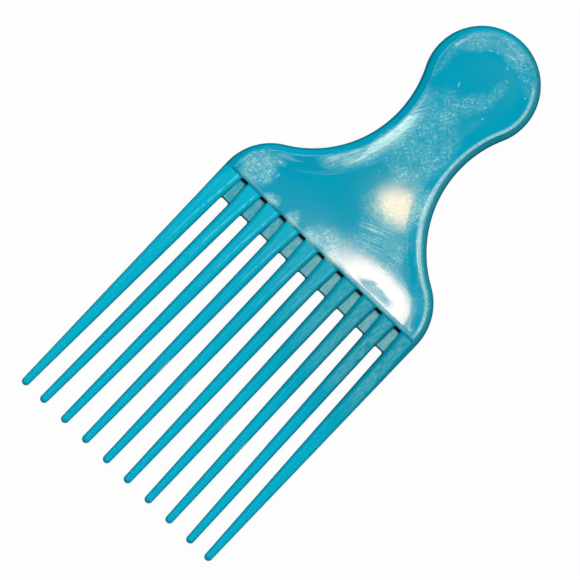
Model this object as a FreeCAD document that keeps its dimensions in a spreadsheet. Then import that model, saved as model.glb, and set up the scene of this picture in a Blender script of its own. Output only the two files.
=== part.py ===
import FreeCAD, Part
import math
import os
import Sketcher

# An afro pick moulded in one piece of plastic, lying on its back.
# X runs across the teeth, Y along the pick towards the round grip, Z up.
# The origin is under the middle of the pick, on the surface it lies on.
# The one moulding is modelled as its natural regions, which meet face to face:
# the handle, ten teeth, and the nine thin webs that tie the teeth at their roots.

# Driving sizes in millimetres: name, value, what it measures.
SIZES = [
    ("handle_length", 84.5, "root line of the teeth to the top of the grip disc"),
    ("tooth_length", 85.5, "root line to the tip of a tooth"),
    ("body_width", 75.5, "across the shoulders and the outer teeth"),
    ("plate_thickness", 5.6, "front face to back face of the handle"),
    ("disc_radius", 17.05, "round grip at the end of the handle"),
    ("shoulder_radius", 17.05, "outer corner of the comb plate"),
    ("neck_width", 24.2, "across the narrowest place of the neck"),
    ("bevel", 2.1, "slope all round the edge of the handle, front and back"),
    ("face_edge_radius", 0.7, "rounding where the slope meets the face"),
    ("step_run", 0.9, "length of the slope where the face ends above the teeth"),
    ("step_drop", 0.6, "how far the teeth lie below the face"),
    ("notch_run", 1.15, "length of the steeper slope above each web"),
    ("rim_land", 0.55, "flat rim left round the dished front face"),
    ("dish_ramp", 6.5, "width over which the dish sinks inside its rim"),
    ("dish_toe", 3.2, "the same above the root line, where it is steeper"),
    ("dish_depth", 0.55, "depth of the dish in the front face"),
    ("tip_fan", 0.66, "how much further apart the teeth are at their tips"),
    ("tooth_root_width", 5.3, "inner tooth across at the root line"),
    ("outer_root_width", 6.11, "outer tooth across at the root line"),
    ("tooth_knee_width", 4.7, "inner tooth across where the webs end"),
    ("outer_knee_width", 5.6, "outer tooth across where the webs end"),
    ("tooth_knee_height", 4.3, "tooth front to back where the webs end"),
    ("outer_tip_lean", 0.35, "how far an outer tooth's outer side leans in"),
    ("root_corner", 1.0, "rounding of a tooth's corners at the root line"),
    ("tip_radius", 1.21, "ball at the end of a tooth"),
    ("web_length", 7.7, "root line to the lower edge of a web"),
    ("web_thickness", 2.0, "front to back through a web"),
    ("overrun", 1.0, "how far a cut reaches past the face that it opens"),
]

TOOTH_COUNT = 10
WEB_COUNT = TOOTH_COUNT - 1
HALF_COUNT = TOOTH_COUNT // 2

# A tooth is nearly round below the webs: its corners take this share of its
# smaller side at the knee, and this share of the ball at the tip.
KNEE_CORNER_SHARE = 0.46
TIP_CORNER_SHARE = 0.94
# The nose of a web is rounded over this share of the web's thickness.
WEB_NOSE_SHARE = 0.46
# The dish sinks along a parabola: places across its ramp as shares of the ramp.
DISH_RAMP_SHARES = (0.0, 0.33, 0.67, 1.0)

# Tooth to tooth: the inner teeth and the gaps share the width evenly.
ROOT_PITCH = ("( body_width / 2 - outer_root_width + tooth_root_width / 2 ) / %.1f"
              % (HALF_COUNT - 0.5))
TIP_PITCH = "( %s ) + tip_fan" % ROOT_PITCH
GAP_WIDTH = "( %s ) - tooth_root_width" % ROOT_PITCH

# A sketch counts the points of a piece as start, end and centre, its own axes downwards.
START, END, CENTRE = range(1, 4)
HORIZONTAL_AXIS, VERTICAL_AXIS = range(-1, -3, -1)
ORIGIN = (HORIZONTAL_AXIS, START)
UP = FreeCAD.Vector(0, 0, 1)

doc = FreeCAD.newDocument("afro_pick")
sheet = doc.addObject("Spreadsheet::Sheet", "sizes")
for row, (alias, value, note) in enumerate(SIZES, start=1):
    sheet.set("A%d" % row, alias)
    sheet.set("B%d" % row, str(value))
    sheet.set("C%d" % row, note)
    sheet.setAlias("B%d" % row, alias)
doc.recompute()


def worth(expression):
    """The present value of an expression in the sheet's own names."""
    return float(sheet.evalExpression(expression))


def bind(thing, path, expression):
    """Tie one property of a document object to the sheet."""
    aliases = [alias for alias, value, note in SIZES]
    words = ["sizes." + word if word in aliases else word for word in expression.split()]
    thing.setExpression(path, " ".join(words))


def origin_feature(body, role):
    """The plane or axis of a body's own origin that has this role."""
    for feature in body.Origin.OriginFeatures:
        if feature.Role == role:
            return feature
    raise ValueError("no origin feature " + role)


def new_body(name):
    body = doc.addObject("PartDesign::Body", name)
    body.Label = name
    return body


def new_sketch(body, name, role, shift):
    """A sketch on one of the body's planes, shifted by three expressions."""
    sketch = body.newObject("Sketcher::SketchObject", name)
    sketch.AttachmentSupport = [(origin_feature(body, role), "")]
    sketch.MapMode = "FlatFace"
    for axis, expression in zip("xyz", shift):
        bind(sketch, "AttachmentOffset.Base." + axis, expression)
    return sketch


class Profile:
    """A closed outline drawn in order; each piece knows its two ends."""

    def __init__(self, sketch):
        self.sketch = sketch
        self.count = 0

    def line(self, first, last):
        index = self.sketch.addGeometry(
            Part.LineSegment(FreeCAD.Vector(*first, 0), FreeCAD.Vector(*last, 0)), False)
        return (index, START, END)

    def arc(self, centre, radius, turn_from, turn_to):
        """An arc by its angles; it is drawn backwards when they fall."""
        circle = Part.Circle(FreeCAD.Vector(*centre, 0), UP, radius)
        low = min(turn_from, turn_to)
        high = max(turn_from, turn_to)
        index = self.sketch.addGeometry(Part.ArcOfCircle(circle, low, high), False)
        if turn_to > turn_from:
            return (index, START, END)
        return (index, END, START)

    def point(self, place):
        """A lone point that helps to place the others."""
        index = self.sketch.addGeometry(Part.Point(FreeCAD.Vector(*place, 0)), True)
        return (index, START)

    def fix(self, *words):
        return self.sketch.addConstraint(Sketcher.Constraint(*words))

    def join(self, kind, piece, following):
        self.fix(kind, piece[0], piece[2], following[0], following[1])

    def measure(self, kind, where, expression):
        """A dimension tied to the sheet."""
        index = self.fix(kind, *where, worth(expression))
        name = "size_%d" % self.count
        self.count += 1
        self.sketch.renameConstraint(index, name)
        bind(self.sketch, "Constraints." + name, expression)


def neck_circle(disc, disc_radius, shoulder, shoulder_radius, waist):
    """Centre and radius of the hollow side of the neck.

    The circle touches the disc and the shoulder, and waist is its distance from the middle.
    """
    rise = disc.y - shoulder.y
    slope = (shoulder.x + shoulder_radius - disc_radius) / rise
    start = (2 * waist * shoulder.x - shoulder.x ** 2 - disc_radius ** 2 + shoulder_radius ** 2
             + rise ** 2) / (2 * rise)
    square = slope ** 2
    single = 2 * (slope * start + waist - shoulder.x - shoulder_radius)
    free = start ** 2 + (waist - shoulder.x) ** 2 - shoulder_radius ** 2
    radius = 2 * free / (math.sqrt(single ** 2 - 4 * square * free) - single)
    return FreeCAD.Vector(waist + radius, shoulder.y + slope * radius + start, 0), radius


def handle_outline(body, name, level, inset, base):
    """The handle's outline, moved in by inset, with its straight lower edge at base.

    The disc, the hollow sides of the neck and the shoulders are arcs that touch.
    An edge at zero stands on the root line, with the short straight sides below
    the shoulders; a higher one meets the shoulder arcs.
    """
    sketch = new_sketch(body, name, "XY_Plane", ("0", "0", level))
    profile = Profile(sketch)
    move_in = worth(inset)
    foot = worth(base)
    side = worth("step_run")
    disc_radius = worth("disc_radius") - move_in
    shoulder_radius = worth("shoulder_radius") - move_in
    waist = worth("neck_width / 2") - move_in
    disc = FreeCAD.Vector(0, worth("handle_length - disc_radius"), 0)
    shoulder = FreeCAD.Vector(worth("body_width / 2 - shoulder_radius"), side, 0)
    neck, neck_radius = neck_circle(disc, disc_radius, shoulder, shoulder_radius, waist)
    shoulder_turn = math.atan2(neck.y - shoulder.y, neck.x - shoulder.x)
    disc_turn = math.atan2(neck.y - disc.y, neck.x - disc.x)
    foot_turn = math.asin((max(foot, side) - side) / shoulder_radius)
    foot_x = shoulder.x + shoulder_radius * math.cos(foot_turn)

    bottom = profile.line((-foot_x, foot), (foot_x, foot))
    right = profile.arc((shoulder.x, shoulder.y), shoulder_radius, foot_turn, shoulder_turn)
    right_neck = profile.arc((neck.x, neck.y), neck_radius, math.pi + shoulder_turn,
                             math.pi + disc_turn)
    round_end = profile.arc((disc.x, disc.y), disc_radius, disc_turn, math.pi - disc_turn)
    left_neck = profile.arc((-neck.x, neck.y), neck_radius, -disc_turn, -shoulder_turn)
    left = profile.arc((-shoulder.x, shoulder.y), shoulder_radius,
                       math.pi - shoulder_turn, math.pi - foot_turn)
    if foot > 0:
        profile.join("Coincident", bottom, right)
        profile.join("Coincident", left, bottom)
        profile.measure("DistanceY", (*ORIGIN, bottom[0], START), base)
    else:
        right_side = profile.line((foot_x, 0), (foot_x, side))
        left_side = profile.line((-foot_x, side), (-foot_x, 0))
        profile.join("Coincident", bottom, right_side)
        profile.join("Tangent", right_side, right)
        profile.join("Tangent", left, left_side)
        profile.join("Coincident", left_side, bottom)
        profile.fix("Vertical", right_side[0])
        profile.fix("Vertical", left_side[0])
        profile.fix("PointOnObject", bottom[0], START, HORIZONTAL_AXIS)
    profile.join("Tangent", right, right_neck)
    profile.join("Tangent", right_neck, round_end)
    profile.join("Tangent", round_end, left_neck)
    profile.join("Tangent", left_neck, left)
    profile.fix("Horizontal", bottom[0])
    profile.fix("PointOnObject", round_end[0], CENTRE, VERTICAL_AXIS)
    profile.measure("DistanceY", (*ORIGIN, round_end[0], CENTRE), "handle_length - disc_radius")
    profile.measure("Radius", (round_end[0],), "disc_radius - ( %s )" % inset)
    profile.measure("DistanceX", (*ORIGIN, right[0], CENTRE), "body_width / 2 - shoulder_radius")
    profile.measure("DistanceY", (*ORIGIN, right[0], CENTRE), "step_run")
    profile.measure("Radius", (right[0],), "shoulder_radius - ( %s )" % inset)
    profile.fix("Symmetric", left[0], CENTRE, right[0], CENTRE, VERTICAL_AXIS)
    profile.fix("Equal", left[0], right[0])
    profile.fix("Equal", left_neck[0], right_neck[0])
    narrowest = profile.point((waist, neck.y))
    profile.fix("PointOnObject", *narrowest, right_neck[0])
    profile.fix("Horizontal", *narrowest, right_neck[0], CENTRE)
    profile.measure("DistanceX", (*ORIGIN, *narrowest), "neck_width / 2 - ( %s )" % inset)
    return sketch


def rounded_section(body, name, shift, width, height, corner):
    """A rectangle with rounded corners about the sketch's middle."""
    sketch = new_sketch(body, name, "XZ_Plane", shift)
    profile = Profile(sketch)
    half_width = worth(width) / 2
    half_height = worth(height) / 2
    radius = worth(corner)
    flat_x = half_width - radius
    flat_y = half_height - radius
    quarter = math.pi / 2
    top = profile.line((-flat_x, half_height), (flat_x, half_height))
    top_right = profile.arc((flat_x, flat_y), radius, quarter, 0)
    right = profile.line((half_width, flat_y), (half_width, -flat_y))
    low_right = profile.arc((flat_x, -flat_y), radius, 4 * quarter, 3 * quarter)
    bottom = profile.line((flat_x, -half_height), (-flat_x, -half_height))
    low_left = profile.arc((-flat_x, -flat_y), radius, 3 * quarter, 2 * quarter)
    left = profile.line((-half_width, -flat_y), (-half_width, flat_y))
    top_left = profile.arc((-flat_x, flat_y), radius, 2 * quarter, quarter)
    pieces = (top, top_right, right, low_right, bottom, low_left, left, top_left)
    for piece, following in zip(pieces, pieces[1:] + pieces[:1]):
        profile.join("Tangent", piece, following)
    for piece in (top_right, low_right, low_left):
        profile.fix("Equal", piece[0], top_left[0])
    square_up(profile, top, right, bottom, left, width, height)
    profile.measure("Radius", (top_left[0],), corner)
    return sketch


def outer_root_section(body, name, shift, width, height, corner):
    """An outer tooth's root: its outer side has the slopes of the handle's edge."""
    sketch = new_sketch(body, name, "XZ_Plane", shift)
    profile = Profile(sketch)
    half_width = worth(width) / 2
    half_height = worth(height) / 2
    radius = worth(corner)
    slope = worth("bevel - step_drop")
    quarter = math.pi / 2
    top = profile.line((radius - half_width, half_height), (half_width - slope, half_height))
    high_slope = profile.line((half_width - slope, half_height), (half_width, half_height - slope))
    right = profile.line((half_width, half_height - slope), (half_width, slope - half_height))
    low_slope = profile.line((half_width, slope - half_height), (half_width - slope, -half_height))
    bottom = profile.line((half_width - slope, -half_height), (radius - half_width, -half_height))
    low_left = profile.arc((radius - half_width, radius - half_height), radius,
                           3 * quarter, 2 * quarter)
    left = profile.line((-half_width, radius - half_height), (-half_width, half_height - radius))
    top_left = profile.arc((radius - half_width, half_height - radius), radius,
                           2 * quarter, quarter)
    for piece, following in ((top, high_slope), (high_slope, right), (right, low_slope),
                             (low_slope, bottom)):
        profile.join("Coincident", piece, following)
    for piece, following in ((bottom, low_left), (low_left, left), (left, top_left),
                             (top_left, top)):
        profile.join("Tangent", piece, following)
    profile.fix("Equal", low_left[0], top_left[0])
    square_up(profile, top, right, bottom, left, width, height)
    profile.measure("Radius", (top_left[0],), corner)
    profile.measure("DistanceX", (high_slope[0], START, high_slope[0], END), "bevel - step_drop")
    profile.measure("DistanceY", (high_slope[0], END, high_slope[0], START), "bevel - step_drop")
    profile.measure("DistanceX", (low_slope[0], END, low_slope[0], START), "bevel - step_drop")
    profile.measure("DistanceY", (low_slope[0], END, low_slope[0], START), "bevel - step_drop")
    return sketch


def square_up(profile, top, right, bottom, left, width, height):
    """Level the four sides and set them about the middle of the sketch."""
    profile.fix("Horizontal", top[0])
    profile.fix("Horizontal", bottom[0])
    profile.fix("Vertical", right[0])
    profile.fix("Vertical", left[0])
    profile.measure("DistanceX", (left[0], START, right[0], START), width)
    profile.measure("DistanceY", (bottom[0], START, top[0], START), height)
    profile.measure("DistanceX", (*ORIGIN, right[0], START), "( %s ) / 2" % width)
    profile.measure("DistanceY", (*ORIGIN, top[0], START), "( %s ) / 2" % height)


def triangle(profile, corner, run, drop):
    """A closed three-sided cut at a corner; run and drop carry their signs."""
    across = profile.line(corner, (corner[0] + run, corner[1]))
    slope = profile.line((corner[0] + run, corner[1]), (corner[0], corner[1] + drop))
    back = profile.line((corner[0], corner[1] + drop), corner)
    profile.join("Coincident", across, slope)
    profile.join("Coincident", slope, back)
    profile.join("Coincident", back, across)
    profile.fix("Horizontal", across[0])
    profile.fix("Vertical", back[0])
    return across, slope, back


def end_cut(body, name, place, run, drop, width):
    """Slope the handle's end, front and back, over a width centred on place."""
    sketch = new_sketch(body, name + "_sketch", "YZ_Plane", ("0", "0", place))
    profile = Profile(sketch)
    across, slope, back = triangle(profile, (0, worth("plate_thickness")), worth(run),
                                   -worth(drop))
    profile.fix("PointOnObject", across[0], START, VERTICAL_AXIS)
    profile.measure("DistanceY", (*ORIGIN, across[0], START), "plate_thickness")
    profile.measure("DistanceX", (across[0], START, across[0], END), run)
    profile.measure("DistanceY", (back[0], START, back[0], END), drop)
    across, slope, back = triangle(profile, (0, 0), worth(run), worth(drop))
    profile.fix("Coincident", across[0], START, *ORIGIN)
    profile.measure("DistanceX", (across[0], START, across[0], END), run)
    profile.measure("DistanceY", (back[0], END, back[0], START), drop)
    pocket = body.newObject("PartDesign::Pocket", name)
    pocket.Profile = sketch
    pocket.Type = 0
    pocket.SideType = "Symmetric"
    bind(pocket, "Length", width)
    doc.recompute()
    return pocket


def names_of(shape, wanted):
    """The names of the edges for which the test holds."""
    return ["Edge%d" % (index + 1) for index, edge in enumerate(shape.Edges) if wanted(edge)]


def make_handle():
    """A flat plate, sloped all round, stepped down to the teeth and dished in front."""
    body = new_body("handle")
    bind(body, "Placement.Base.y", "( tooth_length - handle_length ) / 2")
    outline = handle_outline(body, "handle_outline", "0", "0", "0")
    plate = body.newObject("PartDesign::Pad", "handle_plate")
    plate.Profile = outline
    bind(plate, "Length", "plate_thickness")
    doc.recompute()

    thickness = worth("plate_thickness")
    near = thickness / 1000

    def on_face(edge):
        box = edge.BoundBox
        flat = box.ZLength < near
        level = min(abs(box.ZMin), abs(box.ZMin - thickness)) < near
        return flat and level and box.YMax > near

    slopes = body.newObject("PartDesign::Chamfer", "edge_slopes")
    slopes.Base = (plate, names_of(plate.Shape, on_face))
    bind(slopes, "Size", "bevel")
    doc.recompute()

    rounding = body.newObject("PartDesign::Fillet", "face_rounding")
    rounding.Base = (slopes, names_of(slopes.Shape, on_face))
    bind(rounding, "Radius", "face_edge_radius")
    doc.recompute()

    end_cut(body, "root_step", "0", "step_run", "step_drop", "body_width + overrun")

    first_notch = "0 - ( %s ) * %d" % (ROOT_PITCH, WEB_COUNT // 2)
    notch = end_cut(body, "web_notch", first_notch, "notch_run",
                    "( plate_thickness - web_thickness ) / 2", GAP_WIDTH)
    row = body.newObject("PartDesign::LinearPattern", "web_notches")
    row.Originals = [notch]
    row.Direction = (origin_feature(body, "X_Axis"), [""])
    bind(row, "Length", "( %s ) * %d" % (ROOT_PITCH, WEB_COUNT - 1))
    row.Occurrences = WEB_COUNT
    body.Tip = row
    doc.recompute()

    sections = []
    for number, share in enumerate(DISH_RAMP_SHARES):
        sunk = 1 - (1 - share) ** 2
        level = "plate_thickness - dish_depth * %.4f" % sunk
        inset = "bevel + rim_land + dish_ramp * %.4f" % share
        base = "notch_run + rim_land + dish_toe * %.4f" % share
        sections.append(handle_outline(body, "dish_ring_%d" % number, level, inset, base))
    dish = body.newObject("PartDesign::SubtractiveLoft", "front_dish")
    dish.Profile = sections[0]
    dish.Sections = sections[1:]
    body.Tip = dish
    doc.recompute()
    return body


def make_tooth(number):
    """One tooth right of the middle, counted from it: a stepped root, then a long taper."""
    outer = number == HALF_COUNT
    body = new_body("tooth_%02d" % (HALF_COUNT + number))
    place = number - 0.5
    root_height = "plate_thickness - 2 * step_drop"
    if outer:
        root_width = "outer_root_width"
        knee_width = "outer_knee_width"
        root_x = "body_width / 2 - outer_root_width / 2"
        knee_x = "body_width / 2 - outer_knee_width / 2"
        tip_x = "body_width / 2 - outer_tip_lean - tip_radius"
    else:
        root_width = "tooth_root_width"
        knee_width = "tooth_knee_width"
        root_x = "( %s ) * %.1f" % (ROOT_PITCH, place)
        tip_x = "( %s ) * %.1f" % (TIP_PITCH, place)
        knee_x = "( %s ) + ( ( %s ) - ( %s ) ) * web_length / tooth_length" % (root_x, tip_x, root_x)
    bind(body, "Placement.Base.x", root_x)
    bind(body, "Placement.Base.y", "( tooth_length - handle_length ) / 2")
    bind(body, "Placement.Base.z", "plate_thickness / 2")
    knee_corner = "min( %s ; tooth_knee_height ) * %s" % (knee_width, KNEE_CORNER_SHARE)
    tip_corner = "tip_radius * %s" % TIP_CORNER_SHARE
    root_section = outer_root_section if outer else rounded_section
    root = root_section(body, body.Name + "_root", ("0", "0", "0"), root_width, root_height,
                        "root_corner")
    knee = rounded_section(body, body.Name + "_knee",
                           ("( %s ) - ( %s )" % (knee_x, root_x), "0", "web_length"),
                           knee_width, "tooth_knee_height", knee_corner)
    lean = "( %s ) - ( %s )" % (tip_x, root_x)
    tip = rounded_section(body, body.Name + "_tip",
                          (lean, "0", "tooth_length - tip_radius"),
                          "2 * tip_radius", "2 * tip_radius", tip_corner)
    shank = body.newObject("PartDesign::AdditiveLoft", body.Name + "_shank")
    shank.Profile = root
    shank.Sections = [knee, tip]
    shank.Ruled = True
    ball = body.newObject("PartDesign::AdditiveSphere", body.Name + "_ball")
    ball.AttachmentSupport = [(origin_feature(body, "XY_Plane"), "")]
    ball.MapMode = "FlatFace"
    bind(ball, "AttachmentOffset.Base.x", lean)
    bind(ball, "AttachmentOffset.Base.y", "tip_radius - tooth_length")
    bind(ball, "Radius", "tip_radius")
    body.Tip = ball
    doc.recompute()
    return body


def make_web(number, left_tooth, right_tooth):
    """The web right of a tooth: a round-nosed strip cut to the two teeth it ties."""
    blank = new_body("web_blank_%02d" % number)
    place = number - HALF_COUNT - 0.5
    bind(blank, "Placement.Base.x", "( %s ) * %.1f" % (ROOT_PITCH, place))
    bind(blank, "Placement.Base.y", "( tooth_length - handle_length ) / 2")
    bind(blank, "Placement.Base.z", "plate_thickness / 2")
    sketch = new_sketch(blank, blank.Name + "_profile", "YZ_Plane", ("0", "0", "0"))
    profile = Profile(sketch)
    length = worth("web_length")
    half = worth("web_thickness") / 2
    nose_size = "web_thickness * %s" % WEB_NOSE_SHARE
    nose = worth(nose_size)
    quarter = math.pi / 2
    root = profile.line((0, -half), (0, half))
    top = profile.line((0, half), (nose - length, half))
    top_nose = profile.arc((nose - length, half - nose), nose, quarter, 2 * quarter)
    front = profile.line((-length, half - nose), (-length, nose - half))
    low_nose = profile.arc((nose - length, nose - half), nose, 2 * quarter, 3 * quarter)
    bottom = profile.line((nose - length, -half), (0, -half))
    profile.join("Coincident", bottom, root)
    profile.join("Coincident", root, top)
    for piece, following in ((top, top_nose), (top_nose, front), (front, low_nose),
                             (low_nose, bottom)):
        profile.join("Tangent", piece, following)
    profile.fix("Horizontal", top[0])
    profile.fix("Vertical", front[0])
    profile.fix("Horizontal", bottom[0])
    profile.fix("Symmetric", root[0], START, root[0], END, *ORIGIN)
    profile.fix("Equal", top_nose[0], low_nose[0])
    profile.measure("DistanceY", (root[0], START, root[0], END), "web_thickness")
    profile.measure("DistanceX", (front[0], START, root[0], END), "web_length")
    profile.measure("Radius", (top_nose[0],), nose_size)
    strip = blank.newObject("PartDesign::Pad", blank.Name + "_strip")
    strip.Profile = sketch
    bind(strip, "Length", ROOT_PITCH)
    doc.recompute()
    half_cut = doc.addObject("Part::Cut", "web_left_cut_%02d" % number)
    half_cut.Base = blank
    half_cut.Tool = left_tooth
    web = doc.addObject("Part::Cut", "web_%02d" % number)
    web.Base = half_cut
    web.Tool = right_tooth
    web.Label = web.Name
    doc.recompute()
    return web


def mirrored(source, name):
    """The same piece on the other side of the pick's middle."""
    twin = doc.addObject("Part::Mirroring", name)
    twin.Source = source
    twin.Normal = FreeCAD.Vector(1, 0, 0)
    twin.Label = name
    doc.recompute()
    return twin


handle = make_handle()
teeth = {}
for step in range(1, HALF_COUNT + 1):
    teeth[HALF_COUNT + step] = make_tooth(step)
for step in range(1, HALF_COUNT + 1):
    number = HALF_COUNT + 1 - step
    teeth[number] = mirrored(teeth[HALF_COUNT + step], "tooth_%02d" % number)
webs = {}
for number in range(HALF_COUNT, WEB_COUNT + 1):
    webs[number] = make_web(number, teeth[number], teeth[number + 1])
for number in range(1, HALF_COUNT):
    webs[number] = mirrored(webs[TOOTH_COUNT - number], "web_%02d" % number)
doc.recompute()

pieces = [handle]
pieces += [teeth[number] for number in sorted(teeth)]
pieces += [webs[number] for number in sorted(webs)]

for thing in doc.Objects:
    if "Invalid" in thing.State or "Error" in thing.State:
        raise RuntimeError("%s failed: %s" % (thing.Name, thing.State))

features = [thing for thing in handle.Group if thing.isDerivedFrom("PartDesign::Feature")]
for earlier, later in zip(features, features[1:]):
    if not later.Shape.Volume < earlier.Shape.Volume:
        raise RuntimeError("%s removes nothing" % later.Name)

os.makedirs("parts", exist_ok=True)
for piece in pieces:
    shape = piece.Shape
    if shape.isNull() or not shape.isValid() or len(shape.Solids) != 1:
        raise RuntimeError("%s is not one sound solid" % piece.Label)
    shape.exportStep("parts/%s.step" % piece.Label)
    box = shape.BoundBox
    print("%-9s volume %9.2f  x %7.2f %7.2f  y %7.2f %7.2f  z %5.2f %5.2f" % (
        piece.Label, shape.Volume, box.XMin, box.XMax, box.YMin, box.YMax, box.ZMin, box.ZMax))
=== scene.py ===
import math

import bpy
from mathutils import Matrix, Vector


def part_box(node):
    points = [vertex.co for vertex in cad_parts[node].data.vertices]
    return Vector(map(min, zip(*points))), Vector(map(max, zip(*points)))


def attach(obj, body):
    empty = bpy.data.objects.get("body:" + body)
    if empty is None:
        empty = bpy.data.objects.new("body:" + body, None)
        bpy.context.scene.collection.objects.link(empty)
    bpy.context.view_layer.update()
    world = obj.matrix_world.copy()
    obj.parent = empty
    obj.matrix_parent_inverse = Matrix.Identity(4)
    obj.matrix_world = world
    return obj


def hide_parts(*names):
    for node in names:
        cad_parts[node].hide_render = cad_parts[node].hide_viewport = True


# The dressed afro pick: one moulding of teal plastic, lying on its back on a pale floor.
# Metres throughout. X runs across the teeth, Y towards the round grip, Z up.

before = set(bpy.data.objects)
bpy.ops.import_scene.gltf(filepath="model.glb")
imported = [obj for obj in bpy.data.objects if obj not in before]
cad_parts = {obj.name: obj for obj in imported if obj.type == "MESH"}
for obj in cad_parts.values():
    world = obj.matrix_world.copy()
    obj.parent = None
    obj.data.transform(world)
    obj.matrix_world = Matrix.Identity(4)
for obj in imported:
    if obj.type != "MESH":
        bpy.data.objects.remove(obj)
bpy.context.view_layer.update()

MM = 0.001

# The camera: a long lens, a little below and to the left of straight overhead.
AIM = Vector((0.00080, -0.01242, 0.0))
VIEW_DISTANCE = 2.5
VIEW_LEAN_X = math.radians(-5.70)
VIEW_LEAN_Y = math.radians(-5.58)
VIEW_ROLL = math.radians(43.78)
VIEW_BACK = Vector((math.sin(VIEW_LEAN_X), math.sin(VIEW_LEAN_Y), 1.0)).normalized()
VIEW_END = 10.0
FRAME_PIXELS = 580
METRES_PER_PIXEL = 0.0002856
SENSOR_MM = 36.0

# The moulding, in its drawing's sizes.
DISC_RADIUS = 0.01705
SHOULDER_RADIUS = 0.01705
NECK_WIDTH = 0.0242
BEVEL = 0.0021
SLOPE_TURN = math.radians(45)
HALF_BEND = math.tan(SLOPE_TURN / 2)
FACE_EDGE_RADIUS = 0.0007
WALL_EDGE_RADIUS = 0.0005
STEP_RUN = 0.0009
STEP_DROP = 0.0006
NOTCH_RUN = 0.00115
RIM_LAND = 0.00032
WEB_NOTCH_RUN = 0.00048

# The hollow of the front face. Its ramp is wider on the left and changes over SIDE_SHIFT in the
# middle; CREASE is the share of its fall that is straight and ends in a faint crease. The hollow
# is deepest between the step and DEEPEST, and shallower by DISC_SHARE at the grip.
LEFT_RAMP = 0.0055
RIGHT_RAMP = 0.0032
SIDE_SHIFT = 0.008
CREASE = 0.25
DISH_TOE = 0.0220
DISH_DEPTH = 0.00055
DEEPEST = 0.024
DISC_SHARE = 0.3

# How finely the front face and its round edges are divided, and how much is made to be cut off.
GRID_CELL = 0.00045
SPARE_ROWS = 2
ARC_STEP = math.radians(2.0)
ROUND_STEPS = 4
SKIRT = 0.006
HAIR = 1e-6
PLATE_CREASE_TURN = math.radians(25)
WEB_CREASE_TURN = math.radians(40)
EDGE_LAYER = "from_outline"

handle_low, handle_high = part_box("handle")
ROOT_LINE = handle_low.y
HALF_WIDTH = handle_high.x
THICKNESS = handle_high.z
TOE_LINE = ROOT_LINE + NOTCH_RUN + RIM_LAND
DISC = Vector((0.0, handle_high.y - DISC_RADIUS))
SHOULDER = Vector((HALF_WIDTH - SHOULDER_RADIUS, ROOT_LINE + STEP_RUN))
TEETH = sorted(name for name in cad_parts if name.startswith("tooth"))
WEBS = sorted(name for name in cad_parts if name.startswith("web"))
WEB_PITCH = (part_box(WEBS[-1])[0].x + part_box(WEBS[-1])[1].x) / (len(WEBS) - 1)
HALF_PITCH = WEB_PITCH / 2

# The hollow corners of the webs: how far back from the lip they fade, their radius, and where
# a web is divided for them, in shares of that radius.
LIP = 0.0009
FILLET = 0.00045
FILLET_STEPS = [0.08, 0.2, 0.4, 0.65, 1.0]


def root_span(name):
    """The lowest and highest corner of a node where it meets the root line."""
    places = [vertex.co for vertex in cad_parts[name].data.vertices
              if abs(vertex.co.y - ROOT_LINE) < HAIR]
    low = Vector([min(place[axis] for place in places) for axis in range(3)])
    high = Vector([max(place[axis] for place in places) for axis in range(3)])
    return low, high


def select_only(*pieces):
    bpy.ops.object.select_all(action="DESELECT")
    for piece in pieces:
        piece.select_set(True)
    bpy.context.view_layer.objects.active = pieces[-1]


def mark(piece, face_test=None, vertex_test=None):
    """Select, in object mode, the faces or the vertices that pass a test."""
    for vertex in piece.data.vertices:
        vertex.select = bool(vertex_test and vertex_test(vertex.co))
    for edge in piece.data.edges:
        edge.select = False
    for face in piece.data.polygons:
        face.select = bool(face_test and face_test(face))


def neck_circle():
    """Centre and radius of the hollow side that touches disc and shoulder."""
    waist = NECK_WIDTH / 2
    rise = DISC.y - SHOULDER.y
    slope = (SHOULDER.x + SHOULDER_RADIUS - DISC_RADIUS) / rise
    start = (2 * waist * SHOULDER.x - SHOULDER.x ** 2 - DISC_RADIUS ** 2 + SHOULDER_RADIUS ** 2
             + rise ** 2) / (2 * rise)
    square = slope ** 2
    single = 2 * (slope * start + waist - SHOULDER.x - SHOULDER_RADIUS)
    free = start ** 2 + (waist - SHOULDER.x) ** 2 - SHOULDER_RADIUS ** 2
    radius = 2 * free / (math.sqrt(single ** 2 - 4 * square * free) - single)
    return Vector((waist + radius, SHOULDER.y + slope * radius + start)), radius


NECK, NECK_RADIUS = neck_circle()
SHOULDER_TURN = math.atan2(NECK.y - SHOULDER.y, NECK.x - SHOULDER.x)
DISC_TURN = math.atan2(NECK.y - DISC.y, NECK.x - DISC.x)


def arc(centre, radius, turn_from, turn_to):
    """Places along an arc, without its last one."""
    steps = max(2, round(abs(turn_to - turn_from) / ARC_STEP))
    turns = [turn_from + (turn_to - turn_from) * step / steps for step in range(steps)]
    return [centre + radius * Vector((math.cos(turn), math.sin(turn))) for turn in turns]


def outline():
    """The handle's outline, anticlockwise, with a skirt below the root line."""
    right = [Vector((HALF_WIDTH, ROOT_LINE - SKIRT))]
    right += arc(SHOULDER, SHOULDER_RADIUS, 0, SHOULDER_TURN)
    right += arc(NECK, NECK_RADIUS, math.pi + SHOULDER_TURN, math.pi + DISC_TURN)
    right += arc(DISC, DISC_RADIUS, DISC_TURN, math.pi / 2)
    left = [Vector((-place.x, place.y)) for place in reversed(right)]
    return right + [Vector((0.0, handle_high.y))] + left


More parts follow.
